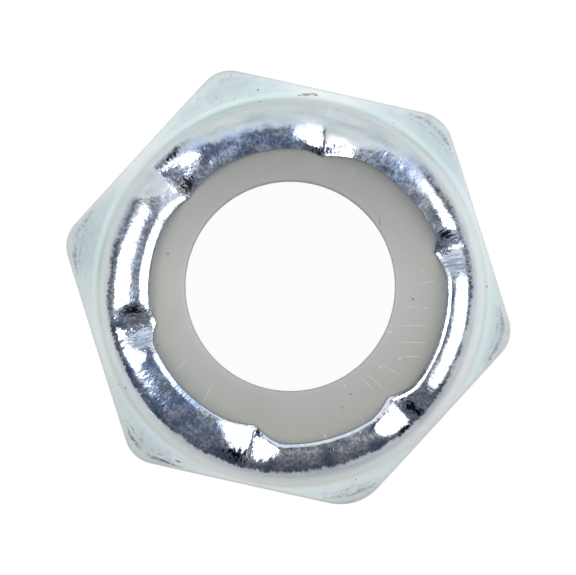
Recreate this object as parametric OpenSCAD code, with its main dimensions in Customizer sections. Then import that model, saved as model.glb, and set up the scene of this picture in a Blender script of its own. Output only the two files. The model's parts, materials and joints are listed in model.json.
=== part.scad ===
// Prevailing-torque lock nut: a hexagon nut whose collar is rolled and crimped over a nylon ring.
// The bearing face lies on Z = 0 around the thread's axis, and the +X axis passes through a corner.

/* [Hexagon] */
// Width across the flats
across_flats = 14.29; // [13.9:0.01:15.5]
// Height of the shoulder where the top chamfer ends at the collar's foot
shoulder_height = 7.9; // [6.6:0.1:9.0]
// Slope of both chamfers against the bearing face
chamfer_angle = 30; // [20:1:35]
// Radius that rounds the six upright edges
corner_radius = 1.17; // [0.5:0.01:2.0]
// Radius that rounds the top chamfer over into the upright edges
tip_radius = 0.4; // [0.2:0.05:0.8]
// Diameter of the flat bearing face
bearing_d = 13.6; // [12.4:0.1:14.0]

/* [Thread] */
// Diameter at the crests of the thread, which is 3/8 inch with 16 turns to the inch
thread_minor_d = 7.98; // [7.8:0.01:8.15]
// Diameter at the roots of the thread
thread_major_d = 9.525; // [9.2:0.005:9.8]
// Width by which the mouth of each countersink passes the roots of the thread
countersink_margin = 0.25; // [0.1:0.05:0.45]
// Slope of each countersink against the face that it opens in
countersink_angle = 30; // [20:1:45]

/* [Collar] */
// Height of the whole nut
total_height = 11.5; // [11.0:0.05:12.4]
// Outer diameter of the collar
collar_d = 13.16; // [12.6:0.02:13.4]
// Thickness of the collar's upright wall
collar_wall = 0.7; // [0.5:0.02:0.9]
// Distance of the collar's axis from the thread's axis
collar_offset = 0.11; // [0:0.01:0.2]
// Direction of that offset, counted from +X
offset_angle = -35; // [-180:0.5:180]
// Width of the flare at the foot of the collar
flare_width = 0.32; // [0.2:0.02:0.5]
// Slope of the flare where it leaves the top chamfer
flare_angle = 50; // [42:1:60]

/* [Rolled lip] */
// Thickness of the lip above the nylon ring
lip_thickness = 0.7; // [0.5:0.05:0.9]
// Mean distance that the lip reaches inward from the wall of the pocket
lip_reach = 0.53; // [0.45:0.01:0.8]
// Mean width of the lip's nose, from its crest to its inner edge
nose_width = 0.3; // [0.2:0.01:0.4]
// Fall of the nose over its width
nose_fall = 0.34; // [0.2:0.02:0.45]
// Height over which the collar rounds inward to the crest
roll_height = 0.73; // [0.5:0.01:1.0]
// How uneven the roll came out from one crimp to the next, where 0 makes it round
unevenness = 1; // [0:0.05:1.1]

/* [Crimps] */
// Depth of each crimp below the crest of the lip
crimp_depth = 0.34; // [0.1:0.02:0.4]
// Distance that each crimp's tooth stands inward of the lip's edge
crimp_bite = 0.22; // [0.1:0.02:0.3]
// Angle from the line at the bottom of a crimp to where it fades out, on the mean of its two sides
crimp_spread = 11.5; // [6:0.5:14]
// Power of the fade, where 1 gives plain V grooves and more gives softer shoulders
crimp_softness = 1.5; // [1:0.1:2.5]

/* [Nylon ring] */
// Inner diameter of the ring, smaller than the thread so that the bolt cuts into it
ring_bore_d = 7.42; // [7.2:0.01:7.7]
// Height of the ring under the lip
ring_height = 2.8; // [2.2:0.05:3.4]
// Height by which the roll squeezed the ring up inside the lip's edge
ring_crown = 0.24; // [0.1:0.02:0.3]
// Width of the broken edges of the ring's bore
ring_edge = 0.12; // [0.05:0.01:0.25]
// Radial play between the ring and the wall of its pocket
ring_play = 0.02; // [0.01:0.01:0.06]

/* [Hidden] */

$fn = 96;
sides = 6;
side_angle = 360 / sides;
// Angle by which each crimp missed the middle of its flat
crimp_drift = [-3.9, -1.3, 0.7, -3.3, -1.1, -5];
// How far each crimp's tooth stands outward of the mean, and its spread before and after its line
tooth_shift = [0.23, -0.25, -0.32, -0.29, -0.1, 0.15];
spread_before = [0.95, 1.55, 1.2, 0.7, 1.1, 1.1];
spread_after = [0.7, 0.95, 0.95, 0.8, 1.05, 0.95];
// How far the lip's edge stands outward of the mean after each crimp and before the next one, and
// the nose's width and fall there as shares of theirs
lip_after = [0.21, -0.32, -0.41, -0.11, 0.26, 0.27];
lip_before = [-0.25, -0.41, -0.35, -0.19, 0.23, 0.39];
nose_after = [1, 1.5, 1.5, 1, 0.9, 0.8];
nose_before = [1.1, 1.5, 1.4, 1.2, 0.8, 0.5];
nose_falls = [0.2, 0.9, 1.05, 1, 0.9, 1.1];
// A solid that is fused to another reaches this far into it
overlap = 0.4;
// A cut passes the face that it opens in by this much
cut_margin = 1;
// The flat facets of the rolled lip start this far inside the true round of the wall
facet_inset = 0.01;

flat_r = across_flats / 2;
corner_centre_r = (flat_r - corner_radius) / cos(side_angle / 2);
corner_tip_r = corner_centre_r + corner_radius;
// The turned form is slightly wider than the corners, so that only its curve and cones trim them
turned_r = corner_tip_r + 0.05;
bearing_r = bearing_d / 2;
bottom_chamfer_height = (turned_r - bearing_r) * tan(chamfer_angle);

collar_r = collar_d / 2;
shoulder_r = collar_r + flare_width;
flare_radius = flare_width / (1 - sin(flare_angle));
flare_top = shoulder_height + flare_radius * cos(flare_angle);
// The flare goes on below the shoulder, far enough for the offset collar to leave no gap
flare_slope = tan(flare_angle);
chamfer_slope = tan(chamfer_angle);
flare_foot = collar_offset * chamfer_slope / (flare_slope - chamfer_slope) + 0.15;

pocket_r = collar_r - collar_wall;
pocket_top = total_height - lip_thickness;
pocket_floor = pocket_top - ring_height;
thread_r = thread_minor_d / 2;
countersink_r = thread_major_d / 2 + countersink_margin;
countersink_depth = (countersink_r - thread_r) * tan(countersink_angle);

lip_r = pocket_r - lip_reach;
roll_start = total_height - roll_height;
// The upright wall ends below the deepest crimp, and the lofted lip carries it on from there
wall_top = roll_start - crimp_depth - 0.05;

ring_r = pocket_r - ring_play;
ring_bore_r = ring_bore_d / 2;
ring_top = ring_height + ring_crown;

arc_steps = 6;
nose_steps = 2;
// Sections beside each crimp, as shares of its spread, and steps between one crimp and the next
crimp_shares = [0.12, 0.3, 0.5, 0.75, 1];
gap_steps = 6;

// Angle of a crimp, near the middle of its flat
function crimp_angle(k) = side_angle * (k + 0.5) + crimp_drift[k % sides];
function before(k) = crimp_spread * spread_before[k % sides];
function after(k) = crimp_spread * spread_after[k % sides];

// Angle at a share of the way from the end of one crimp to the start of the next
function gap_angle(k, share) =
    let (start = crimp_angle(k) + after(k))
    let (end = crimp_angle(k + 1) - before(k + 1))
    start + (end - start) * share;

// Angles of the sections from one crimp's line up to the next, close together beside the crimps
function stretch_angles(k) = concat(
    [crimp_angle(k)],
    [for (share = crimp_shares) crimp_angle(k) + share * after(k)],
    [for (m = [1:gap_steps - 1]) gap_angle(k, m / gap_steps)],
    [for (i = [len(crimp_shares) - 1:-1:0]) crimp_angle(k + 1) - crimp_shares[i] * before(k + 1)]
);

// How strongly a crimp acts at a share of its spread, from 1 on its line to 0 at its end
function fade(share) = share < 1 ? pow(1 - share, crimp_softness) : 0;

// Shape of the lip in stretch k at an angle: how strongly a crimp acts, the radius of the lip's
// edge, the nose's width and its fall. Between crimps they run straight from one to the next
function lip_shape(k, a) =
    let (next = (k + 1) % sides)
    let (run = (a - crimp_angle(k)) / (crimp_angle(k + 1) - crimp_angle(k)))
    let (behind = fade((a - crimp_angle(k)) / after(k)))
    let (ahead = fade((crimp_angle(k + 1) - a) / before(k + 1)))
    let (act = max(behind, ahead))
    let (tooth = unevenness * tooth_shift[behind >= ahead ? k : next] - crimp_bite)
    let (free = unevenness * (lip_after[k] + (lip_before[k] - lip_after[k]) * run))
    let (wide = nose_after[k] + (nose_before[k] - nose_after[k]) * run)
    [
        act,
        lip_r + free * (1 - act) + tooth * act,
        nose_width * (wide * (1 - act) + act),
        nose_fall * nose_falls[k]
    ];

// Point at an angle, on a ring whose centre is shifted along the offset's direction
function lip_point(a, r, z, shift) =
    let (reach = r + shift * cos(a - offset_angle))
    [reach * cos(a), reach * sin(a), z];

// Outer curve of the roll: a quarter of an ellipse from the wall up to the crest
function roll_curve(a, shape) =
    let (crest_r = shape[1] + shape[2])
    [
        for (i = [0:arc_steps])
            let (u = 90 * i / arc_steps)
            let (r = crest_r + (collar_r - facet_inset - crest_r) * cos(u))
            let (z = roll_start + roll_height * sin(u) - crimp_depth * shape[0])
            lip_point(a, r, z, collar_offset * cos(u))
    ];

// Inner curve of the roll: a parabola from the crest down to the lip's edge
function nose_curve(a, shape) = [
    for (i = [1:nose_steps])
        let (v = i / nose_steps)
        let (r = shape[1] + shape[2] * (1 - v))
        let (z = total_height - crimp_depth * shape[0] - shape[3] * shape[2] * v * v)
        lip_point(a, r, z, 0)
];

// One closed section through the lip, which starts and ends inside the wall below it
function lip_section(k, a) =
    let (shape = lip_shape(k, a))
    concat(
        [
            lip_point(a, collar_r - collar_wall / 3, wall_top - overlap, collar_offset),
            lip_point(a, collar_r - facet_inset, wall_top - overlap / 2, collar_offset)
        ],
        roll_curve(a, shape),
        nose_curve(a, shape),
        [lip_point(a, shape[1], wall_top - overlap, 0)]
    );

// Two triangles between neighbouring points of one section and the next
function ring_patch(i, j, sections, rows) =
    let (i2 = (i + 1) % sections)
    let (j2 = (j + 1) % rows)
    [
        [i * rows + j, i * rows + j2, i2 * rows + j2],
        [i * rows + j, i2 * rows + j2, i2 * rows + j]
    ];

// Shift of whatever was formed together with the collar
module on_collar_axis() {
    translate([collar_offset * cos(offset_angle), collar_offset * sin(offset_angle), 0])
        children();
}

// Hexagon with its corners rounded by circles that touch the flats
module hexagon_outline() {
    corners = [for (k = [0:sides - 1]) side_angle * k];
    polygon([
        for (a = corners, side = [-1, 1])
            corner_centre_r * [cos(a), sin(a)]
                + corner_radius * [cos(a + side * side_angle / 2), sin(a + side * side_angle / 2)]
    ]);
    for (a = corners)
        rotate([0, 0, a])
            translate([corner_centre_r, 0])
                circle(r = corner_radius);
}

// Turned form that trims the hexagon: bearing face, both chamfers and the rounded tips
module chamfered_form() {
    normal_angle = 90 - chamfer_angle;
    tip_r = turned_r - tip_radius;
    cone_end_r = tip_r + tip_radius * cos(normal_angle);
    cone_end_z = shoulder_height - (cone_end_r - shoulder_r) * chamfer_slope;
    tip_z = cone_end_z - tip_radius * sin(normal_angle);
    top_z = shoulder_height + (shoulder_r - pocket_r) * chamfer_slope;
    rotate_extrude()
        polygon(concat(
            [[0, 0], [bearing_r, 0], [turned_r, bottom_chamfer_height]],
            [
                for (i = [0:arc_steps])
                    let (a = normal_angle * i / arc_steps)
                    [tip_r + tip_radius * cos(a), tip_z + tip_radius * sin(a)]
            ],
            [[pocket_r, top_z], [0, top_z]]
        ));
}

// Upright wall of the collar on its flare, filled until the bore and the pocket are cut
module collar_form() {
    foot_r = shoulder_r + flare_foot;
    foot_z = shoulder_height - flare_foot * flare_slope;
    on_collar_axis()
        rotate_extrude()
            polygon(concat(
                [[0, foot_z - overlap], [foot_r, foot_z - overlap], [foot_r, foot_z]],
                [
                    for (i = [0:arc_steps])
                        let (a = flare_angle + (90 - flare_angle) * i / arc_steps)
                        [collar_r + flare_radius * (1 - sin(a)), flare_top - flare_radius * cos(a)]
                ],
                [[collar_r, wall_top], [0, wall_top]]
            ));
}

// Rolled top of the collar with its crimps, lofted through the sections
module rolled_lip() {
    sections = [for (k = [0:sides - 1], a = stretch_angles(k)) lip_section(k, a)];
    rows = len(sections[0]);
    polyhedron(
        points = [for (section = sections) each section],
        faces = [
            for (i = [0:len(sections) - 1], j = [0:rows - 1])
                each ring_patch(i, j, len(sections), rows)
        ]
    );
}

// Hole of the thread, with a countersink at each end
module thread_hole() {
    translate([0, 0, -cut_margin])
        cylinder(r = thread_r, h = pocket_floor + 2 * cut_margin);
    for (end = [0, 1])
        translate([0, 0, end * pocket_floor])
            mirror([0, 0, end])
                cylinder(r1 = countersink_r, r2 = thread_r, h = countersink_depth);
}

// Steel nut, forged and tapped, with the collar rolled over after the ring went in
module nut_body() {
    color("#c3ccd2")
        difference() {
            union() {
                intersection() {
                    linear_extrude(height = total_height)
                        hexagon_outline();
                    union() {
                        chamfered_form();
                        collar_form();
                    }
                }
                rolled_lip();
            }
            thread_hole();
            translate([0, 0, pocket_floor])
                cylinder(r = pocket_r, h = ring_height);
        }
}

// Outline of the lip's inner edge, drawn in by the ring's play
module lip_outline() {
    polygon([
        for (k = [0:sides - 1], a = stretch_angles(k))
            (lip_shape(k, a)[1] - ring_play) * [cos(a), sin(a)]
    ]);
}

// Nylon ring, which fills the pocket and stands up a little inside the lip's edge
module nylon_ring() {
    color("#b0b2af")
        translate([0, 0, pocket_floor])
            difference() {
                union() {
                    cylinder(r = ring_r, h = ring_height);
                    translate([0, 0, ring_height - overlap])
                        linear_extrude(height = ring_crown + overlap)
                            lip_outline();
                }
                translate([0, 0, -cut_margin])
                    cylinder(r = ring_bore_r, h = ring_top + 2 * cut_margin);
                for (end = [0, 1])
                    translate([0, 0, end * ring_top])
                        mirror([0, 0, end])
                            translate([0, 0, -cut_margin])
                                cylinder(
                                    r1 = ring_bore_r + ring_edge + cut_margin,
                                    r2 = ring_bore_r,
                                    h = ring_edge + cut_margin
                                );
            }
}

nut_body();
nylon_ring();
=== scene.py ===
"""A zinc plated lock nut, seen from the side of its crimped collar, with its nylon ring."""

import json
import math

import bpy
import numpy as np
from mathutils import Euler, Matrix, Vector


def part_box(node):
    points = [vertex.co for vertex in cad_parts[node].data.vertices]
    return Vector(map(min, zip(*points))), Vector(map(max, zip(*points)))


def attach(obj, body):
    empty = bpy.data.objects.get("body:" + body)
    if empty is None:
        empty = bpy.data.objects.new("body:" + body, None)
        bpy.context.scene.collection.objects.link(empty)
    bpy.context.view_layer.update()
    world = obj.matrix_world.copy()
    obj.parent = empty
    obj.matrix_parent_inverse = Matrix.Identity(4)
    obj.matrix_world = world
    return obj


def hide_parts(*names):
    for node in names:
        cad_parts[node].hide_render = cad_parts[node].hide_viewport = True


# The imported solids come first. Every length below is in millimetres and is turned into metres
# where it goes into Blender. The bolt's axis is the Z axis and the bearing face lies on Z = 0.
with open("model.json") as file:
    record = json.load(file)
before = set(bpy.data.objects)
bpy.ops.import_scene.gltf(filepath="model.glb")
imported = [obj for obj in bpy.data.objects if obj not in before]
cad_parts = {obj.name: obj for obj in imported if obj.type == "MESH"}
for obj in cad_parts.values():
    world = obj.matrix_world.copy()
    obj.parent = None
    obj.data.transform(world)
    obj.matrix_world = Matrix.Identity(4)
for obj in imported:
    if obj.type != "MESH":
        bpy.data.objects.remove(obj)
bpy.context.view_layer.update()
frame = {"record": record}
MM = 0.001


# Nut body. The real piece is cold forged from steel wire, tapped, and zinc plated with a clear
# blue passivation. A nylon ring is then laid in the collar's pocket, and a die rolls the collar's
# top inward over the ring and strikes six crimps through the lip, which burnishes the plating.
body_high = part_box("nut_body")[1]
FLAT_R = body_high.y / MM
CORNER_R = body_high.x / MM
NUT_HEIGHT = body_high.z / MM
mounts = {mount["name"]: mount for mount in frame["record"]["mounts"]}
THREAD_R = mounts["thread"]["dims"]["r_mm"]
CHAMFER_SLOPE = math.tan(math.radians(30))
# Rounding of the hexagon's corners, from how far they fall short of sharp ones
CORNER_ROUND = (CORNER_R - FLAT_R / math.cos(math.pi / 6)) / (1 - 1 / math.cos(math.pi / 6))
# What wear adds to the rounding of the corners at 0, 60, 120, 180, 240 and 300 degrees
CORNER_WEAR = [0, 0.15, 0, 0, 0, 0.6]
BEARING_R = 6.8
SHOULDER_R, SHOULDER_Z = 6.9, 7.9
COLLAR_R, FLARE_HEIGHT, FLARE_START = 6.58, 0.9, 50
ROLL_HEIGHT, ROLL_FULLNESS = 0.73, 2.08
POCKET_R, POCKET_FLOOR, POCKET_TOP = 5.88, 8.0, 10.8
COUNTERSINK_R, COUNTERSINK_DEPTH = 5.01, 0.59
PITCH, THREAD_DEPTH = 25.4 / 16, 0.77
# Shares of the pitch that lie flat at the thread's crests and at its roots
CREST_FLAT, ROOT_FLAT = 0.25, 0.13
# Rounding of the bearing face's edge and of the flats' edges. Towards a corner the top edge's
# rounding grows by a bell curve, whose height is in mm and whose width is in degrees
BEARING_ROUND, EDGE_ROUND = 0.05, 0.08
CORNER_EXTRA, CORNER_SPREAD = 0.24, 8
COLUMNS = 600
ROLL_ROWS, ARC_ROWS, BORE_ROWS = 32, 9, 60

# Shift of each turned circle against the thread's axis, as a length and a direction in degrees
SHOULDER_SHIFT = (0.20, -38)
COLLAR_SHIFT = (0.11, -35)

# Each crimp: its direction in degrees, the radius its tooth reaches, how far the tooth and then
# the dent spread, in degrees, clockwise and anticlockwise of it, and the dent's share at the wall
CRIMPS = [
    (26.1, 5.29, 11, 7, 10, 7.5, 0.85),
    (88.7, 4.80, 17, 11, 13, 11, 0.0),
    (150.7, 4.73, 14, 11, 14, 11, 0.0),
    (206.7, 4.80, 8, 9, 7.5, 11, 0.45),
    (268.9, 4.97, 13, 12, 13, 10, 0.1),
    (325.0, 5.21, 11, 11, 9.5, 12, 0.6),
]
CRIMP_LINES = np.array([crimp[0] for crimp in CRIMPS])
CRIMP_DEPTH = 0.34
FLANK_POWER = 1.5
# In degrees: half the width of a dent's soft bottom, and where in the roll's quarter turn a dent
# starts to deepen and over how much of the turn it does
DENT_BOTTOM = 1.6
DENT_START, DENT_RUN = 32, 55
TOOTH_WIDTH = 0.22
EDGE_BREAK, EDGE_DROP = 0.012, 0.03

# Each stretch of lip from one crimp to the next: the lip's radius at its start and its end, how
# far the roll's crest lies outside the lip there, and the mean slope of the nose between the two
STRETCHES = [
    (5.55, 5.08, 0.31, 0.36, 0.05),
    (4.97, 4.87, 0.50, 0.52, 0.30),
    (4.88, 4.93, 0.42, 0.38, 0.36),
    (5.17, 5.14, 0.24, 0.24, 0.24),
    (5.52, 5.50, 0.23, 0.23, 0.30),
    (5.57, 5.62, 0.24, 0.18, 0.38),
]

# Where the burnish starts round the roll, as a direction in degrees and a radius. On the far side
# the die hardly touched the roll, so its satin reaches far in, with steps at two crimps
BURNISH = [
    (-10, 6.46), (12.5, 6.50), (42, 6.47), (55, 6.40), (62, 6.20), (70, 5.92), (76, 5.68),
    (80, 5.56), (88.5, 5.50), (89, 5.86), (100, 5.84), (112, 5.83), (129, 5.83), (134, 6.12),
    (140, 6.42), (150.5, 6.47), (151, 5.62), (156.5, 5.62), (162.5, 6.33), (178, 6.33),
    (192.5, 6.38), (212.5, 6.45), (232.5, 6.52), (252.5, 6.52), (262.5, 6.54), (290, 6.50),
    (322.5, 6.54), (350, 6.46),
]

# Marks round the nut, each as the direction of its middle, its half width in degrees and its
# strength: tinted arcs in the plating along the shoulder, worn stretches of the corners' rounding,
# dull scraped flanks of crimps, and arcs where the burnished plating looks blue
TINTS = [
    (60, 10, 1.0), (119, 13, 1.0), (184, 10, 0.9), (224, 15, 0.4), (290, 23, 0.8), (2, 14, 0.4),
]
WORN = [
    (236.5, 4, 1.0), (247, 6, 1.0), (300.5, 9, 0.6), (355, 5, 0.7), (3.5, 5, 0.6),
    (174.5, 5, 0.7), (184.5, 5, 0.7), (56, 5, 0.7), (64.5, 5, 0.6), (118, 4, 0.2),
]
SCRAPED = [(20.5, 4.5, 1.1), (212.3, 2.6, 1.0)]
BLUED = [(60, 13, 0.6), (117, 26, 1.0), (234, 27, 1.0), (8, 10, 0.3)]


def gaps(degrees, centres):
    """Angle from each centre to each of the given angles, between -180 and 180 degrees."""
    return (degrees[:, None] - np.array(centres)[None, :] + 180) % 360 - 180


def crowded_angles(count, centres, width, strength):
    """Angles of the mesh's columns. They are an even share each of the running total of a density
    that is 1 everywhere and rises by a bell curve of the given strength at each centre."""
    fine = np.linspace(0, 360, 360 * 20 + 1)
    density = 1 + strength * np.exp(-((gaps(fine, centres) / width) ** 2)).sum(axis=1)
    total = np.concatenate([[0], np.cumsum((density[1:] + density[:-1]) / 2)])
    return np.interp(np.arange(count) / count * total[-1], total, fine)


def shifted(radius, shift, degrees):
    """Distance from the Z axis to a circle whose centre is shifted: the radius plus the shift
    times the cosine of the angle between the column and the shift's direction."""
    length, direction = shift
    return radius + length * np.cos(np.radians(degrees - direction))


def hexagon_radius(degrees):
    """Distance from the Z axis to the hexagon: the flat's distance over the cosine of the angle
    to the middle of the flat, or near a corner the far side of the circle that rounds it."""
    off_corner = np.radians((degrees + 30) % 60 - 30)
    corner = ((degrees + 30) // 60).astype(int) % 6
    round_r = CORNER_ROUND + np.array(CORNER_WEAR)[corner]
    flat = FLAT_R / np.cos(np.pi / 6 - np.abs(off_corner))
    centre = (FLAT_R - round_r) / math.cos(math.pi / 6)
    reach = np.sqrt(np.maximum(round_r**2 - (centre * np.sin(off_corner)) ** 2, 0))
    rounded = centre * np.cos(off_corner) + reach
    touch = np.arctan2(round_r / 2, centre + round_r * math.cos(math.pi / 6))
    return np.where(np.abs(off_corner) < touch, rounded, flat)


def flank(distance, spread):
    """Share left at a distance from a crimp's line: 1 less the distance over the spread, to the
    flank's power."""
    return np.maximum(1 - distance / spread, 0) ** FLANK_POWER


def lip_curves(degrees):
    """Lip's radius, the crest's distance outside it, the nose's slope, the dent's share and its
    part at the wall. Between two crimps the radius and the distance run straight from their value
    at the start to that at the end, and each tooth draws the lip to its own radius by the share of
    its flank. The dent's share is made alike with its own spread. Its distance is the root of the
    squares of the angle and of the half width of the bottom, less that half width."""
    since = (degrees[:, None] - CRIMP_LINES[None, :]) % 360
    k = since.argmin(axis=1)
    after_k = (k + 1) % len(CRIMPS)
    run = since[np.arange(len(degrees)), k]
    span = (CRIMP_LINES[after_k] - CRIMP_LINES[k]) % 360
    to_next = span - run
    t = run / span
    lip_0, lip_1, width_0, width_1, slope = np.array(STRETCHES)[k].T
    tooth, before, after, dent_before, dent_after, at_wall = np.array(CRIMPS)[:, 1:].T

    behind = flank(run, after[k])
    ahead = flank(to_next, before[after_k])
    share = np.maximum(behind, ahead)
    reach = np.where(behind >= ahead, tooth[k], tooth[after_k])
    lip = (lip_0 + (lip_1 - lip_0) * t) * (1 - share) + reach * share
    width = (width_0 + (width_1 - width_0) * t) * (1 - share) + TOOTH_WIDTH * share

    behind = flank(np.hypot(run, DENT_BOTTOM) - DENT_BOTTOM, dent_after[k])
    ahead = flank(np.hypot(to_next, DENT_BOTTOM) - DENT_BOTTOM, dent_before[after_k])
    wall = np.maximum(behind * at_wall[k], ahead * at_wall[after_k])
    return lip, width, slope, np.maximum(behind, ahead), wall


def arcs(degrees, marks):
    """Sum over the marks of their strength times 1 less the square of the angle to the mark's
    middle over its half width."""
    middle, width, strength = np.array(marks).T
    return (strength * np.maximum(1 - (gaps(degrees, middle) / width) ** 2, 0)).sum(axis=1)


def shares(count):
    """Column of even shares from 0 up to 1, leaving out 1."""
    return (np.arange(count) / count)[:, None]


def rows_between(start, end, count):
    """Rows at even steps from one curve round the nut to the next, leaving out the last."""
    t = shares(count)
    return start[0] + (end[0] - start[0]) * t, start[1] + (end[1] - start[1]) * t


def bend(before, corner, after, count):
    """Rows on a quadratic curve that rounds a corner: weights (1-t)^2, 2t(1-t) and t^2."""
    t = shares(count)
    weights = (1 - t) ** 2, 2 * t * (1 - t), t**2
    return tuple(sum(w * point[i] for w, point in zip(weights, (before, corner, after)))
                 for i in (0, 1))


def thread_radius(degrees, height):
    """Bore's radius with a right-hand thread: the crest radius plus the depth times a trapezoid
    wave of the phase, which is the height over the pitch less the turn."""
    phase = (height / PITCH - degrees / 360) % 1
    wave = (np.abs(phase - 0.5) * 2 - CREST_FLAT) / (1 - CREST_FLAT - ROOT_FLAT)
    return THREAD_R + THREAD_DEPTH * np.clip(wave, 0, 1)


angles = crowded_angles(COLUMNS, CRIMP_LINES, width=3.0, strength=3.0)
one = np.ones(COLUMNS)
hexagon = hexagon_radius(angles)
shoulder = shifted(SHOULDER_R, SHOULDER_SHIFT, angles)
collar = shifted(COLLAR_R, COLLAR_SHIFT, angles)
shoulder_z = SHOULDER_Z - (shoulder - SHOULDER_R) * CHAMFER_SLOPE
lip, nose_width, nose_slope, groove, wall_groove = lip_curves(angles)
crest = lip + nose_width
crest_z = NUT_HEIGHT - CRIMP_DEPTH * groove
roll_z = NUT_HEIGHT - ROLL_HEIGHT - CRIMP_DEPTH * wall_groove
nose_z = crest_z - nose_slope * nose_width

off_corner = (angles + 30) % 60 - 30
edge_round = EDGE_ROUND + CORNER_EXTRA * np.exp(-((off_corner / CORNER_SPREAD) ** 2))
low_edge_z = (hexagon - BEARING_R) * CHAMFER_SLOPE
top_edge_z = SHOULDER_Z - (hexagon - SHOULDER_R) * CHAMFER_SLOPE

bearing_in = (COUNTERSINK_R * one, 0 * one)
bearing_out = (BEARING_R * one - BEARING_ROUND, 0 * one)
low_chamfer = (BEARING_R * one + BEARING_ROUND, BEARING_ROUND * CHAMFER_SLOPE * one)
low_before = (hexagon - EDGE_ROUND, low_edge_z - EDGE_ROUND * CHAMFER_SLOPE)
low_after = (hexagon, low_edge_z + EDGE_ROUND)
top_before = (hexagon, top_edge_z - edge_round)
top_after = (hexagon - edge_round, top_edge_z + edge_round * CHAMFER_SLOPE)

# Flare: an arc of a circle from an angle at the chamfer to 90 degrees, upright on the collar. Its
# sine sets the radius and its cosine the height, each stretched to the room it has
arc = np.radians(FLARE_START + (90 - FLARE_START) * shares(ARC_ROWS))
flare_share = (1 - np.sin(arc)) / (1 - math.sin(math.radians(FLARE_START)))
rise_share = 1 - np.cos(arc) / math.cos(math.radians(FLARE_START))
outside = [
    rows_between(bearing_in, bearing_out, 3),
    bend(bearing_out, (BEARING_R * one, 0 * one), low_chamfer, 3),
    rows_between(low_chamfer, low_before, 4),
    bend(low_before, (hexagon, low_edge_z), low_after, 4),
    rows_between(low_after, top_before, 6),
    bend(top_before, (hexagon, top_edge_z), top_after, 8),
    rows_between(top_after, (shoulder, shoulder_z), 10),
    (collar + (shoulder - collar) * flare_share, shoulder_z + FLARE_HEIGHT * rise_share),
    rows_between((collar, shoulder_z + FLARE_HEIGHT), (collar, roll_z), 4),
]

# Roll: a quarter of a full ellipse from the collar's wall up to the crest. Sine and cosine are
# raised to 2 over the fullness. A crimp's dent starts with its share at the wall and grows to its
# full depth by an S-curve in the middle of the turn
roll_turn = 90 * shares(ROLL_ROWS)
growth = np.clip((roll_turn - DENT_START) / DENT_RUN, 0, 1)
dent = CRIMP_DEPTH * (groove - wall_groove) * growth**2 * (3 - 2 * growth)
across = np.cos(np.radians(roll_turn)) ** (2 / ROLL_FULLNESS)
rise = np.sin(np.radians(roll_turn)) ** (2 / ROLL_FULLNESS)

# Nose: a parabola from the crest down to the lip, whose edge is broken, then down to the ring
t = shares(ARC_ROWS)
lip_edge = (lip - EDGE_BREAK, nose_z - EDGE_DROP)
lip_under = (lip - EDGE_BREAK, POCKET_TOP * one)
rolled = [
    (crest + (collar - crest) * across, roll_z + ROLL_HEIGHT * rise - dent),
    (crest - nose_width * t, crest_z - nose_slope * nose_width * t**2),
    (lip[None, :], nose_z[None, :]),
    rows_between(lip_edge, lip_under, 2),
]

# Inside: the ring's pocket, and the bore, the wider of the thread and the two countersinks
pocket_high = (POCKET_R * one, POCKET_TOP * one)
pocket_low = (POCKET_R * one, POCKET_FLOOR * one)
bore_top = (COUNTERSINK_R * one, POCKET_FLOOR * one)
bore_z = np.linspace(POCKET_FLOOR, 0, BORE_ROWS)[:, None] * one
sink_slope = (COUNTERSINK_R - THREAD_R) / COUNTERSINK_DEPTH
sinks = COUNTERSINK_R - np.minimum(bore_z, POCKET_FLOOR - bore_z) * sink_slope
bore = np.minimum(np.maximum(thread_radius(angles, bore_z), sinks), COUNTERSINK_R)
inside = [
    rows_between(lip_under, pocket_high, 1),
    rows_between(pocket_high, pocket_low, 2),
    rows_between(pocket_low, bore_top, 2),
    (bore[:-1], bore_z[:-1]),
]

radius = np.concatenate([part[0] for part in outside + rolled + inside])
height = np.concatenate([part[1] for part in outside + rolled + inside])
roll_start = sum(len(part[0]) for part in outside)
roll_end = roll_start + sum(len(part[0]) for part in rolled)


def ring_mesh(name, degrees, radius, height):
    """Closed mesh through a grid of rows and columns that joins up both ways. A point lies at its
    radius along its column's direction, and each face spans two rows and two columns."""
    rows, columns = radius.shape
    turn = np.radians(degrees)
    points = np.stack([radius * np.cos(turn), radius * np.sin(turn), height], axis=-1) * MM
    i, j = np.meshgrid(np.arange(rows), np.arange(columns), indexing="ij")
    i2, j2 = (i + 1) % rows, (j + 1) % columns
    faces = np.stack([i * columns + j, i * columns + j2, i2 * columns + j2, i2 * columns + j], -1)
    mesh = bpy.data.meshes.new(name)
    mesh.vertices.add(rows * columns)
    mesh.vertices.foreach_set("co", points.ravel())
    mesh.loops.add(faces.size)
    mesh.loops.foreach_set("vertex_index", faces.ravel())
    mesh.polygons.add(rows * columns)
    mesh.polygons.foreach_set("loop_start", np.arange(rows * columns) * 4)
    mesh.update(calc_edges=True)
    mesh.validate()
    mesh.shade_smooth()
    piece = bpy.data.objects.new(name, mesh)
    bpy.context.scene.collection.objects.link(piece)
    return piece


def paint(piece, name, values):
    """Keeps one number for each point of the mesh under a name that a material can read."""
    layer = piece.data.attributes.new(name, "FLOAT", "POINT")
    layer.data.foreach_set("value", np.asarray(values, np.float32).ravel())


nut = ring_mesh("zinc_nut", angles, radius, height)
nut.data.set_sharp_from_angle(angle=math.radians(38))

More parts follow.
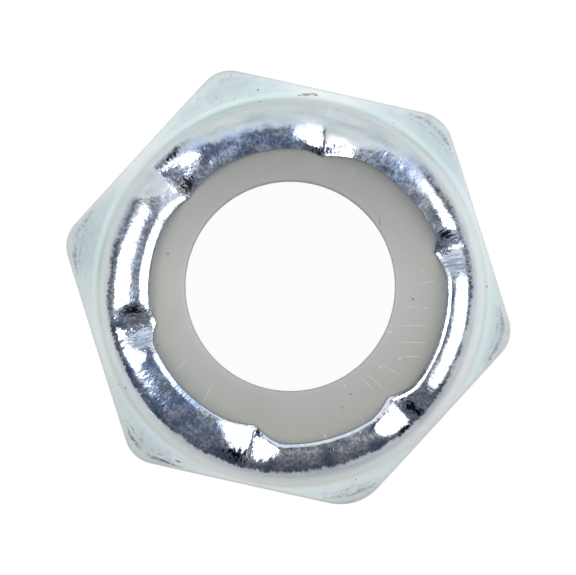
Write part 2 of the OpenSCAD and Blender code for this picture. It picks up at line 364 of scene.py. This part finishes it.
# Values for the material at each point, in mm and degrees. in_burnish is the distance inward of
# the burnish's start, or -1 off the rolled rows, from_shoulder and to_lip are distances outward of
# the shoulder's line and of the lip, and from_edge is the distance inward of the hexagon's
# outline, which edge_share gives over the edge's rounding. from_corner is the angle to the nearest
# corner. across_crimp is the distance across the nearest crimp's line with its sign, and
# from_crimp without it. The last four are the strengths of the marks round the nut
in_burnish = np.full_like(radius, -1)
burnish_r = np.interp(angles, *np.array(BURNISH).T)
in_burnish[roll_start:roll_end] = (burnish_r - radius)[roll_start:roll_end]
crimp_gap = gaps(angles, CRIMP_LINES)
nearest = np.abs(crimp_gap).argmin(axis=1)
across_crimp = np.radians(crimp_gap[np.arange(COLUMNS), nearest])
for name, values in (
    ("in_burnish", in_burnish),
    ("from_shoulder", radius - shoulder),
    ("to_lip", radius - lip),
    ("from_edge", hexagon - radius),
    ("edge_share", (hexagon - radius) / edge_round),
    ("from_corner", np.abs(off_corner)),
    ("across_crimp", across_crimp * radius),
    ("from_crimp", np.abs(across_crimp) * radius),
    ("tint", arcs(angles, TINTS)),
    ("worn", arcs(angles, WORN)),
    ("scraped", arcs(angles, SCRAPED)),
    ("blued", arcs(angles, BLUED)),
):
    paint(nut, name, np.broadcast_to(values, radius.shape))


class Shader:
    """A material's nodes. Each method adds nodes, joins or sets their inputs and gives the output
    of the last one."""

    def __init__(self, name):
        self.material = bpy.data.materials.new(name)
        self.material.use_nodes = True
        self.tree = self.material.node_tree
        self.tree.nodes.clear()

    def add(self, kind, output=0, settings=None, **inputs):
        """One node. An input is named by its socket, with _ for a space, or by i and its index."""
        node = self.tree.nodes.new("ShaderNode" + kind)
        for key, value in (settings or {}).items():
            setattr(node, key, value)
        for key, value in inputs.items():
            index = int(key[1:]) if key[0] == "i" and key[1:].isdigit() else key.replace("_", " ")
            socket = node.inputs[index]
            if isinstance(value, bpy.types.NodeSocket):
                self.tree.links.new(value, socket)
            else:
                socket.default_value = value
        return node.outputs[output]

    def millimetres(self):
        """Place in the part's own frame, in mm."""
        place = self.add("TexCoord", output=3)
        return self.add("Mapping", Vector=place, Scale=(1 / MM,) * 3)

    def math(self, operation, *values):
        return self.add("Math", settings={"operation": operation},
                        **{f"i{n}": value for n, value in enumerate(values)})

    def times(self, first, *others):
        for other in others:
            first = self.math("MULTIPLY", first, other)
        return first

    def steps(self, value, low, high, low_out=0.0, high_out=1.0):
        return self.add("MapRange", Value=value, From_Min=low, From_Max=high,
                        To_Min=low_out, To_Max=high_out)

    def band(self, value, middle, outer, inner):
        """1 where the value is within the inner distance of the middle, 0 beyond the outer one."""
        return self.steps(self.math("ABSOLUTE", self.math("SUBTRACT", value, middle)),
                          outer, inner)

    def blend(self, share, first, second):
        settings = {"data_type": "RGBA", "clamp_factor": True}
        return self.add("Mix", output=2, settings=settings, i0=share, i6=first, i7=second)

    def attribute(self, name):
        return self.add("Attribute", output=2, settings={"attribute_name": name})

    def noise(self, vector, scale, detail=2.0, roughness=0.5):
        return self.add("TexNoise", Vector=vector, Scale=scale, Detail=detail, Roughness=roughness)

    def vector(self, operation, *values, output=0):
        return self.add("VectorMath", output, {"operation": operation},
                        **{f"i{n}": value for n, value in enumerate(values)})

    def along(self, mm, direction):
        """Distance from the axis along a direction."""
        return self.vector("DOT_PRODUCT", mm, direction, output=1)

    def round_axis(self, mm, around, across):
        """Vector for a texture that follows the nut round: the direction from the axis times one
        scale, and along its third axis the distance from the axis times the other."""
        flat = self.vector("MULTIPLY", mm, (1, 1, 0))
        unit = self.vector("MULTIPLY", self.vector("NORMALIZE", flat), (around, around, 0))
        reach = self.times(self.vector("LENGTH", flat, output=1), across)
        return self.vector("ADD", unit, self.add("CombineXYZ", Z=reach))

    def spots(self, mm, marks):
        """Strength from 1 to 0 of small long marks. Each is a radius and a direction from the
        axis, a length, a width, and its turn from the radial direction, in mm and degrees."""
        total = 0.0
        for radius, direction, length, width, turn in marks:
            a = math.radians(direction)
            local = self.add("Mapping", settings={"vector_type": "TEXTURE"}, Vector=mm,
                             Location=(radius * math.cos(a), radius * math.sin(a), 0),
                             Rotation=(0, 0, a + math.radians(turn)),
                             Scale=(length / 2, width / 2, 1000))
            ball = self.add("TexGradient", output=1, settings={"gradient_type": "SPHERICAL"},
                            Vector=local)
            total = self.math("MAXIMUM", ball, total)
        return total

    def finish(self, shader):
        """The material, once its last shader is joined to the surface."""
        output = self.tree.nodes.new("ShaderNodeOutputMaterial")
        self.tree.links.new(shader, output.inputs["Surface"])
        return self.material


# Directions of the photo's top, its lower right and its left in the part's own frame
FAR, NEAR, LEFT = (-0.216, 0.976, 0), (0.45, -0.89, 0), (-0.976, -0.216, 0)

# Small marks on the plating, as the shader's spots reads them: dark specks, rust, and painted dark
# reflections in and beside the crimps, which in part are black grease of the die
DOTS = [
    (7.13, 111.2, 0.10, 0.09, 0), (7.85, 117.6, 0.06, 0.05, 0), (7.23, 123.3, 0.07, 0.06, 0),
    (6.99, 118.3, 0.06, 0.05, 0), (7.45, 128.0, 0.07, 0.05, 0), (6.70, 111.2, 0.09, 0.05, 60),
    (6.93, 222.0, 0.07, 0.05, 0), (7.20, 302.0, 0.07, 0.06, 0), (6.95, 70.0, 0.06, 0.05, 0),
    (7.05, 13.0, 0.10, 0.08, 60), (6.78, 224.0, 0.16, 0.05, 80), (7.3, 250.0, 0.3, 0.08, 100),
]
RUST = [
    (6.94, 94.9, 0.36, 0.12, 82), (6.90, 97.4, 0.34, 0.11, 92), (6.93, 96.2, 0.34, 0.07, 88),
    (6.86, 99.2, 0.16, 0.06, 80),
]
DARK_REFLECTIONS_AND_GREASE = [
    (5.86, 31.3, 0.9, 0.55, -12), (5.00, 87.2, 0.75, 1.2, 0), (6.24, 143.4, 0.46, 1.6, 8),
    (5.12, 146.3, 0.9, 0.85, 15), (5.60, 200.5, 1.2, 0.6, 0), (5.25, 270.4, 0.7, 0.45, 0),
    (6.10, 328.8, 1.3, 0.5, 8), (6.10, 265.0, 0.75, 1.4, 0), (6.46, 321.8, 0.5, 1.2, 10),
]


def forged_colour(s, mm, broken):
    """Satin of the forged faces: cool grey clouds, painted light that makes it paler towards the
    near side, streaks that run round the nut, a painted highlight along the flats' outer edges, a
    pale flare with painted light from the table, a tinted crease along the shoulder and a painted
    highlight beside it."""
    from_shoulder = s.attribute("from_shoulder")
    near_side = s.along(mm, NEAR)
    satin = s.blend(s.steps(s.noise(mm, 0.8, 3), 0.35, 0.65),
                    (0.60, 0.705, 0.74, 1), (0.68, 0.77, 0.78, 1))
    # Painted light: the satin is paler towards the near side
    satin = s.blend(s.steps(near_side, -3, 7, 0, 0.8), satin, (0.89, 0.975, 0.985, 1))
    streak = s.noise(s.round_axis(mm, 2.2, 9.0), 1.0, 3, 0.6)
    satin = s.blend(s.steps(streak, 0.50, 0.72, 0, 0.6), satin, (0.64, 0.80, 0.75, 1))
    satin = s.blend(s.steps(streak, 0.48, 0.28, 0, 0.5), satin, (0.85, 0.86, 0.85, 1))
    # Painted highlight: nearly white along the outer edges of the flats, away from the corners
    middle = s.times(s.steps(s.attribute("from_corner"), 12, 25),
                     s.steps(s.attribute("from_edge"), 0.55, 0.1), 0.7)
    satin = s.blend(middle, satin, (0.98, 0.99, 0.96, 1))

    # Flare: pale with painted light from the table, whitest towards the near side, and mottled,
    # with fine lines round it and tool marks across it at the crimps
    flare = s.steps(from_shoulder, 0.03, -0.12)
    # Painted light: the flare's colour whitens towards the near side
    pale = s.blend(s.steps(near_side, -5, 3), (0.74, 0.785, 0.78, 1), (1.0, 1.0, 1.0, 1))
    satin = s.blend(s.times(flare, 0.9), satin, pale)
    lines = s.noise(s.round_axis(mm, 1.2, 30.0), 1.0, 3, 0.6)
    dark_lines = s.times(flare, s.steps(lines, 0.52, 0.75, 0, 0.4))
    satin = s.blend(dark_lines, satin, (0.70, 0.76, 0.76, 1))
    light_lines = s.times(flare, s.steps(lines, 0.46, 0.25, 0, 0.4))
    satin = s.blend(light_lines, satin, (0.92, 0.94, 0.92, 1))
    mottle = s.steps(s.noise(mm, 2.6, 4, 0.68), 0.48, 0.66, 0, 0.5)
    satin = s.blend(s.times(flare, mottle), satin, (0.84, 0.87, 0.93, 1))
    across = s.math("ADD", s.attribute("across_crimp"), s.steps(broken, 0.3, 0.7, -0.07, 0.07))
    tool = s.math("MAXIMUM", s.band(across, 0.10, 0.06, 0.02), s.band(across, -0.06, 0.04, 0.01))
    tool = s.times(tool, s.steps(from_shoulder, 0.05, -0.15, 0, 0.42),
                   s.steps(s.attribute("from_crimp"), 0.6, 0.4))
    satin = s.blend(tool, satin, (0.95, 0.98, 0.99, 1))

    # Shoulder's crease, with tinted arcs: green on the far side and yellowish on the near one, and
    # a pale bluish painted highlight beside it
    tint = s.attribute("tint")
    tinted = s.blend(s.steps(near_side, 0, 6), (0.45, 0.66, 0.54, 1), (0.80, 0.80, 0.62, 1))
    crease = s.times(s.band(from_shoulder, -0.02, 0.10, 0.02), s.steps(tint, 0, 1, 0.18, 0.75))
    satin = s.blend(crease, satin, tinted)
    satin = s.blend(s.times(s.band(from_shoulder, 0.24, 0.22, 0.06), tint, 0.16), satin, tinted)
    # Painted highlight: a pale bluish streak beside the crease
    painted_highlight_by_crease = s.times(s.band(from_shoulder, 0.15, 0.13, 0.04), s.steps(streak, 0.3, 0.6, 0.7, 0.3))
    return s.blend(painted_highlight_by_crease, satin, (0.87, 0.96, 0.99, 1))


def worn_colour(s, mm, broken, satin):
    """The same satin with bluer and darker corners, a beige painted reflection of the table on the
    rounded edge, grain, die lines, pits and blotches, and over them dark scuffs where the corners
    are worn, specks and rust."""
    from_shoulder = s.attribute("from_shoulder")
    from_corner = s.attribute("from_corner")
    edge_share = s.attribute("edge_share")
    near_corner = s.times(s.steps(from_corner, 10, 3), s.steps(from_shoulder, 0.2, 0.6), 0.55)
    satin = s.blend(near_corner, satin, (0.48, 0.555, 0.615, 1))
    # Painted reflection: beige on the rounding of the flats' top edge, as the white table would
    # show in it
    satin = s.blend(s.steps(edge_share, 1.5, 0.6, 0, 0.6), satin, (0.82, 0.83, 0.81, 1))
    grain = s.noise(mm, 12.0, 3, 0.65)
    satin = s.blend(s.steps(grain, 0.40, 0.70, 0.0, 0.34), satin, (0.85, 0.88, 0.87, 1))
    die_lines = s.noise(s.vector("MULTIPLY", mm, (9.0, 9.0, 0.4)), 1.0, 3, 0.6)
    die_lines = s.times(s.steps(s.attribute("from_edge"), 0.12, 0.02),
                        s.steps(die_lines, 0.48, 0.70, 0, 0.4))
    satin = s.blend(die_lines, satin, (0.52, 0.58, 0.60, 1))
    pits = s.steps(s.noise(mm, 14.0, 2, 0.7), 0.30, 0.18, 0, 0.5)
    satin = s.blend(pits, satin, (0.42, 0.46, 0.49, 1))
    blotch = s.times(s.steps(s.noise(mm, 2.6, 4, 0.7), 0.50, 0.66, 0, 0.5),
                     s.steps(from_corner, 16, 6), s.steps(from_shoulder, 0.1, 0.4))
    satin = s.blend(blotch, satin, (0.50, 0.57, 0.62, 1))

    dashes = s.noise(s.round_axis(mm, 14.0, 3.0), 1.0, 3, 0.6)
    bent = s.math("ADD", edge_share, s.steps(dashes, 0, 1, -0.3, 0.3))
    second = s.times(s.band(bent, 1.7, 0.16, 0.04), s.steps(broken, 0.48, 0.56, 0, 0.7))
    contour = s.math("MAXIMUM", s.band(bent, 1.0, 0.34, 0.08), second)
    contour = s.times(contour, s.attribute("worn"), s.steps(broken, 0.38, 0.50))
    dirt = s.math("MAXIMUM", contour, s.steps(s.spots(mm, DOTS), 0.1, 0.5))
    satin = s.blend(s.times(dirt, 0.85), satin, (0.09, 0.10, 0.12, 1))
    rust = s.times(s.steps(s.spots(mm, RUST), 0.0, 0.45), s.steps(broken, 0.30, 0.52, 0.25, 1),
                   0.8)
    return s.blend(rust, satin, (0.24, 0.14, 0.09, 1))


def zinc_material():
    """Satin, slightly cloudy zinc on the forged faces, and a burnished mirror with a fine orange
    peel and flecks of satin on the rolled collar."""
    s = Shader("zinc_blue_passivated")
    mm = s.millimetres()
    broken = s.noise(mm, 7.0, 3, 0.65)
    satin = worn_colour(s, mm, broken, forged_colour(s, mm, broken))

    # Satin left on the roll: smeared in clouds by the die, a little darker towards the burnish
    from_shoulder = s.attribute("from_shoulder")
    smear = s.noise(s.round_axis(mm, 5.0, 3.0), 1.0, 4, 0.65)
    smear = s.times(s.steps(smear, 0.42, 0.66, 0, 0.75), s.steps(from_shoulder, -0.25, -0.6))
    satin = s.blend(s.steps(from_shoulder, -0.25, -0.65, 0, 0.75), satin, (0.47, 0.525, 0.54, 1))
    satin = s.blend(smear, satin, (0.36, 0.42, 0.46, 1))

    # Burnish: its start is ragged, and flecks of satin in clouds lie all through it
    far_side = s.along(mm, FAR)
    rag_place = s.round_axis(mm, 6.2, 0.45)
    rag = s.noise(rag_place, 9.0, 3, 0.6)
    within = s.math("ADD", s.attribute("in_burnish"), s.steps(rag, 0, 1, -0.16, 0.16))
    within = s.math("ADD", within, s.steps(s.noise(mm, 1.6, 2), 0, 1, -0.14, 0.14))
    soft = s.steps(far_side, 0, 5, 0.06, 0.2)
    burnish = s.steps(within, s.times(soft, -1.0), soft)
    fleck = s.math("MAXIMUM", s.steps(s.noise(mm, 9.0, 4, 0.6), 0.40, 0.70, 0.12, 0.48),
                   s.steps(s.noise(rag_place, 13.0, 2, 0.6), 0.55, 0.8, 0, 0.28))
    cloud = s.steps(s.noise(mm, 1.2, 3), 0.35, 0.65, 0.2, 1.0)
    fleck = s.times(fleck, cloud, s.steps(far_side, -6, 6, 0.55, 1.3))

    # Scraped flanks of crimps, dull beside the lip, and painted dark reflections, in part black
    # grease, with a speckled edge
    scrape = s.noise(s.round_axis(mm, 55.0, 1.2), 1.0, 3, 0.6)
    ragged_lip = s.math("ADD", s.attribute("to_lip"), s.steps(rag, 0, 1, -0.3, 0.3))
    scrape = s.times(s.steps(scrape, 0.36, 0.60, 0.1, 1.0), s.attribute("scraped"),
                     s.steps(ragged_lip, 1.0, 0.7, 0.1, 0.95))
    fleck = s.times(s.math("MAXIMUM", fleck, scrape), burnish)
    speckle = s.steps(s.noise(rag_place, 12.0, 3, 0.65), 0.3, 0.7, -0.55, 0.55)
    dark_reflection_and_grease = s.math("ADD", s.times(s.spots(mm, DARK_REFLECTIONS_AND_GREASE), 0.9), speckle)
    dark_reflection_and_grease = s.times(s.steps(dark_reflection_and_grease, 0.35, 0.6), burnish)

    # Colours of the burnish, of its blue patches and of its flecks
    bright = s.blend(s.steps(s.noise(mm, 2.4, 3), 0.4, 0.6),
                     (0.72, 0.80, 0.95, 1), (0.90, 0.91, 0.93, 1))
    blue_patch = s.times(s.steps(s.noise(mm, 3.0, 3, 0.6), 0.38, 0.62), s.attribute("blued"))
    bright = s.blend(s.times(blue_patch, 0.85), bright, (0.36, 0.55, 0.94, 1))
    dull = s.blend(s.steps(s.noise(mm, 0.9, 2), 0.40, 0.54),
                   (0.36, 0.40, 0.44, 1), (0.30, 0.43, 0.70, 1))
    dull = s.blend(s.times(blue_patch, 0.9), dull, (0.21, 0.37, 0.74, 1))
    dull = s.blend(scrape, dull, (0.27, 0.30, 0.30, 1))
    bright = s.blend(s.times(fleck, 1.4), bright, dull)
    # Painted dark reflections, in part black grease: near black on the burnish
    bright = s.blend(dark_reflection_and_grease, bright, (0.028, 0.036, 0.052, 1))

    # Relief: orange peel, a slow wave, and a coarser one where the die struck the crimps
    peel = s.times(s.noise(rag_place, 9.0, 2, 0.65), 0.5)
    wave = s.times(s.noise(mm, 2.2, 2, 0.5), 1.5)
    struck = s.times(s.steps(s.attribute("from_crimp"), 1.6, 0.4, 0, 2.4),
                     s.noise(mm, 3.4, 3, 0.6))
    relief = s.math("ADD", s.math("ADD", peel, wave), struck)
    shine = s.math("SUBTRACT", burnish, fleck)
    shader = s.add(
        "BsdfPrincipled",
        Base_Color=s.blend(burnish, satin, bright),
        Metallic=shine,
        Roughness=s.steps(shine, 0, 1, 0.6, 0.15),
        Normal=s.add("Bump", Strength=s.steps(burnish, 0, 1, 0.15, 0.9), Distance=0.014 * MM,
                     Height=relief),
    )
    return s.finish(shader)


nut.data.materials.append(zinc_material())
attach(nut, "root")
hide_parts("nut_body")


# Nylon ring. The real piece is moulded from natural nylon, greyish white and slightly
# translucent. It lies in the collar's pocket, and the rolled lip and its teeth hold it down.
RING_R = 5.86
RING_BORE_R = mounts["ring_bore"]["dims"]["r_mm"]
RING_SHIFT = (0.09, 57)
RING_EDGE = 0.07
RING_PLAY = 0.01
CROWN_Z, CROWN_RISE = 11.04, 0.05
RING_COLUMNS = 480


def nylon_ring():
    """Ring's section carried round the axis. Its bore sits a little to one side and has a rounded
    upper edge. The roll squeezed its top up inside the lip: it rises from the bore to the lip's
    edge, by the square of the share of the way."""
    degrees = np.arange(RING_COLUMNS) * 360 / RING_COLUMNS
    full = np.ones(RING_COLUMNS)
    inner_lip = lip_curves(degrees)[0] - EDGE_BREAK - RING_PLAY
    bore = shifted(RING_BORE_R, RING_SHIFT, degrees)
    bore_z = CROWN_Z - CROWN_RISE
    bore_height = (bore_z - POCKET_FLOOR - 2 * RING_EDGE) * full
    curl = np.radians(90 * shares(6))
    top_start = bore + RING_EDGE
    t = shares(12)
    parts = [
        (bore, POCKET_FLOOR + RING_EDGE + bore_height * shares(8)),
        (bore + RING_EDGE * (1 - np.cos(curl)), bore_z - RING_EDGE * (1 - np.sin(curl))),
        (top_start + (inner_lip - top_start) * t, bore_z + CROWN_RISE * t**2),
        (inner_lip, CROWN_Z),
        (inner_lip, POCKET_TOP),
        (RING_R * full, POCKET_TOP),
        (RING_R * full, POCKET_FLOOR),
        (bore + RING_EDGE, POCKET_FLOOR),
    ]
    parts = [np.broadcast_arrays(np.atleast_2d(r), np.atleast_2d(z)) for r, z in parts]
    radius = np.concatenate([part[0] for part in parts])
    height = np.concatenate([part[1] for part in parts])
    piece = ring_mesh("nylon_insert", degrees, radius[::-1], height[::-1])
    paint(piece, "to_lip", (inner_lip - radius)[::-1])
    return piece


# Small marks in the nylon, as the shader's spots reads them
HAIRLINES = [
    (4.59, -4.1, 1.2, 0.035, 17), (4.79, -11.0, 1.2, 0.035, 23), (4.95, -16.6, 0.9, 0.035, 29),
    (4.6, -26.0, 1.0, 0.03, 8), (4.5, -34.5, 1.1, 0.03, 5), (4.9, 15.0, 0.8, 0.03, 12),
    (4.4, 4.0, 0.7, 0.03, 10), (4.7, 245.0, 0.9, 0.03, 10), (4.6, 228.0, 0.7, 0.03, 8),
    (5.41, -63.6, 0.30, 0.07, 10), (4.4, 322.0, 0.8, 0.03, 6),
]
PALE_SPECKS = [
    (3.90, -11.0, 0.16, 0.06, 40), (4.30, -28.2, 0.12, 0.07, 0), (4.65, -19.8, 0.14, 0.06, 70),
    (4.91, 4.3, 0.14, 0.07, 20), (3.97, -47.6, 0.10, 0.07, 0), (4.75, 20.0, 0.10, 0.05, 30),
]
DARK_SPECKS = [
    (4.32, -47.1, 0.10, 0.08, 0), (4.63, -53.2, 0.09, 0.06, 30), (4.42, 176.5, 0.11, 0.08, 0),
    (3.99, 48.7, 0.42, 0.04, 60), (5.02, 216.0, 0.09, 0.06, 0), (4.9, 190.0, 0.08, 0.05, 0),
]
BROWN_SPECKS = [(4.41, 7.5, 0.13, 0.09, 0)]


def nylon_material():
    """Greyish white nylon with painted light that makes it paler on the left, and painted shade
    that darkens it on the far and near sides and close to the lip, with hairlines, pale and dark
    specks, and a brown one."""
    s = Shader("natural_nylon")
    mm = s.millimetres()
    colour = s.blend(s.steps(s.noise(mm, 0.5, 2), 0.3, 0.7),
                     (0.435, 0.438, 0.42, 1), (0.455, 0.458, 0.44, 1))
    # Painted light: the nylon is paler towards the left
    left = s.steps(s.along(mm, LEFT), 0.5, 4.5, 0, 0.6)
    colour = s.blend(left, colour, (0.51, 0.51, 0.485, 1))
    # Painted shade: darker towards the far side and, less, towards the near side
    far = s.times(s.along(mm, FAR), 0.2)
    colour = s.blend(s.steps(far, 0.1, 1.0, 0, 0.75), colour, (0.275, 0.28, 0.27, 1))
    colour = s.blend(s.steps(far, -0.1, -0.9, 0, 0.8), colour, (0.385, 0.39, 0.375, 1))
    # Painted shade: darker and warmer close to the lip, most on the near side
    painted_lip_shade = s.times(s.steps(s.attribute("to_lip"), 1.4, 0), s.steps(far, -0.5, 0.7, 0.8, 0.3))
    colour = s.blend(painted_lip_shade, colour, (0.35, 0.343, 0.305, 1))

    fine = s.noise(s.round_axis(mm, 60.0, 0.6), 1.0, 2, 0.6)
    fine = s.times(s.steps(fine, 0.66, 0.76), s.steps(s.noise(mm, 0.6, 1), 0.5, 0.7), 0.35)
    hair = s.math("MAXIMUM", fine, s.times(s.steps(s.spots(mm, HAIRLINES), 0, 0.4), 0.55))
    pale = s.times(s.steps(s.spots(mm, PALE_SPECKS), 0, 0.4), 0.7)
    colour = s.blend(s.math("MAXIMUM", hair, pale), colour, (0.68, 0.69, 0.68, 1))
    dark = s.times(s.steps(s.spots(mm, DARK_SPECKS), 0, 0.4), 0.8)
    colour = s.blend(dark, colour, (0.12, 0.12, 0.13, 1))
    brown = s.times(s.steps(s.spots(mm, BROWN_SPECKS), 0, 0.4), 0.8)
    colour = s.blend(brown, colour, (0.30, 0.13, 0.08, 1))
    shader = s.add(
        "BsdfPrincipled",
        Base_Color=colour,
        Roughness=0.42,
        Subsurface_Weight=0.35,
        Subsurface_Radius=(1, 1, 1),
        Subsurface_Scale=0.8 * MM,
        Normal=s.add("Bump", Strength=0.2, Distance=0.01 * MM, Height=s.noise(mm, 6, 3)),
    )
    return s.finish(shader)


ring = nylon_ring()
ring.data.set_sharp_from_angle(angle=math.radians(40))
ring.data.materials.append(nylon_material())
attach(ring, "root")
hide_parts("nylon_ring")


# Floor. A plain white table. To the camera and in reflections it is mostly even white paper,
# and the rest of its colour is lit, so the nut's soft shadow still shows.
FLOOR_SIZE = 50.0
# Shares of even white to rays that see the floor and to all others
FLOOR_SEEN, FLOOR_UNSEEN = 0.92, 0.6


def floor_material():
    """Even white and a lit, slightly cloudy white, mixed by whether the ray sees the floor."""
    s = Shader("white_table")
    path = s.tree.nodes.new("ShaderNodeLightPath")
    seen = s.math("MAXIMUM", path.outputs["Is Camera Ray"], path.outputs["Is Glossy Ray"])
    seen = s.math("MAXIMUM", seen, path.outputs["Is Transmission Ray"])
    paper = s.blend(s.noise(s.millimetres(), 0.2, 3),
                    (0.90, 0.90, 0.90, 1), (0.93, 0.93, 0.93, 1))
    lit = s.add("BsdfDiffuse", Color=paper)
    white = s.add("Emission", Color=(1, 1, 1, 1), Strength=1.03)
    share = s.math("MAXIMUM", s.times(seen, FLOOR_SEEN), FLOOR_UNSEEN)
    return s.finish(s.add("MixShader", i0=share, i1=lit, i2=white))


half = FLOOR_SIZE / 2 * MM
corners = [(-half, -half, 0), (half, -half, 0), (half, half, 0), (-half, half, 0)]
floor_mesh = bpy.data.meshes.new("table")
floor_mesh.from_pydata(corners, [], [(0, 1, 2, 3)])
floor = bpy.data.objects.new("table", floor_mesh)
floor.data.materials.append(floor_material())
bpy.context.scene.collection.objects.link(floor)


# Light and camera. Two round-ended softboxes stand left and right of the nut and a weaker sheet
# of light hangs behind it. The rest of the room is dark to mirrors, which is what the collar
# shows, and gives matt faces a little fill.
LAMP_DISTANCE = 300.0
# Photo's turn against the solid's own frame, in degrees
PHOTO_TURN = 12.5


def softbox(name, turn, off_zenith, tall, wide, roll, radiance, colour, shape):
    """Sheet of light that faces the nut from a direction given by its turn round the nut and its
    angle off the zenith, and rolled about that direction. Its two half angles as seen from the nut
    set its size, and its power is the radiance times pi times its area."""
    lamp = bpy.data.lights.new(name, "AREA")
    lamp.shape = shape
    height = 2 * LAMP_DISTANCE * math.tan(math.radians(tall)) * MM
    width = 2 * LAMP_DISTANCE * math.tan(math.radians(wide)) * MM
    lamp.size, lamp.size_y = height, width
    area = width * height * (math.pi / 4 if shape == "ELLIPSE" else 1)
    lamp.energy = radiance * math.pi * area
    lamp.color = colour
    a, z = math.radians(turn + PHOTO_TURN), math.radians(off_zenith)
    direction = (math.sin(z) * math.cos(a), math.sin(z) * math.sin(a), math.cos(z))
    box = bpy.data.objects.new(name, lamp)
    box.location = [LAMP_DISTANCE * MM * d for d in direction]
    facing = Euler((0, z, a)).to_matrix() @ Matrix.Rotation(math.radians(roll), 3, "Z")
    box.rotation_euler = facing.to_euler()
    bpy.context.scene.collection.objects.link(box)


# Turn, angle off the zenith, tall and wide half angles and roll in degrees, then the radiance
softbox("left_softbox", 182, 38, 24.5, 15.0, 42, 4.35, (1.0, 0.99, 0.98), "ELLIPSE")
softbox("right_softbox", 359, 39, 28, 26, -20, 2.5, (0.98, 0.99, 1.0), "ELLIPSE")
softbox("back_sheet", 90, 56, 23, 39, 0, 0.90, (0.96, 0.99, 1.0), "RECTANGLE")

# Room: dark blue to mirrors, a soft grey fill to matt faces and white paper to the camera
world = bpy.data.worlds.new("dark_studio")
world.use_nodes = True
nodes, links = world.node_tree.nodes, world.node_tree.links
nodes["Background"].inputs["Color"].default_value = (0.48, 0.60, 0.94, 1)
nodes["Background"].inputs["Strength"].default_value = 0.065
room = nodes["Background"].outputs[0]
path = nodes.new("ShaderNodeLightPath")
for ray, colour in (("Is Diffuse Ray", (0.13, 0.15, 0.165, 1)), ("Is Camera Ray", (1, 1, 1, 1))):
    to_ray = nodes.new("ShaderNodeBackground")
    to_ray.inputs["Color"].default_value = colour
    either = nodes.new("ShaderNodeMixShader")
    links.new(path.outputs[ray], either.inputs[0])
    links.new(room, either.inputs[1])
    links.new(to_ray.outputs[0], either.inputs[2])
    room = either.outputs[0]
links.new(room, nodes["World Output"].inputs[0])
bpy.context.scene.world = world
bpy.context.scene.view_settings.view_transform = "Standard"

# The camera looks straight down with a long lens. The size of the photo's pixels holds at the
# height of the hexagon's top edges, where the camera aims
PHOTO_PIXELS, PIXEL_SIZE = 576, 0.03555
SENSOR_WIDTH = 36.0
CAMERA_DISTANCE = 450.0
AIM_X, AIM_Y, AIM_Z = -0.014, 0.025, 7.5
camera_data = bpy.data.cameras.new("camera")
camera_data.sensor_width = SENSOR_WIDTH
camera_data.lens = SENSOR_WIDTH * CAMERA_DISTANCE / (PHOTO_PIXELS * PIXEL_SIZE)
camera = bpy.data.objects.new("camera", camera_data)
turn = math.radians(PHOTO_TURN)
camera.location = (
    (AIM_X * math.cos(turn) - AIM_Y * math.sin(turn)) * MM,
    (AIM_X * math.sin(turn) + AIM_Y * math.cos(turn)) * MM,
    (CAMERA_DISTANCE + AIM_Z) * MM,
)
camera.rotation_euler = (0, 0, turn)
bpy.context.scene.collection.objects.link(camera)
bpy.context.scene.camera = camera
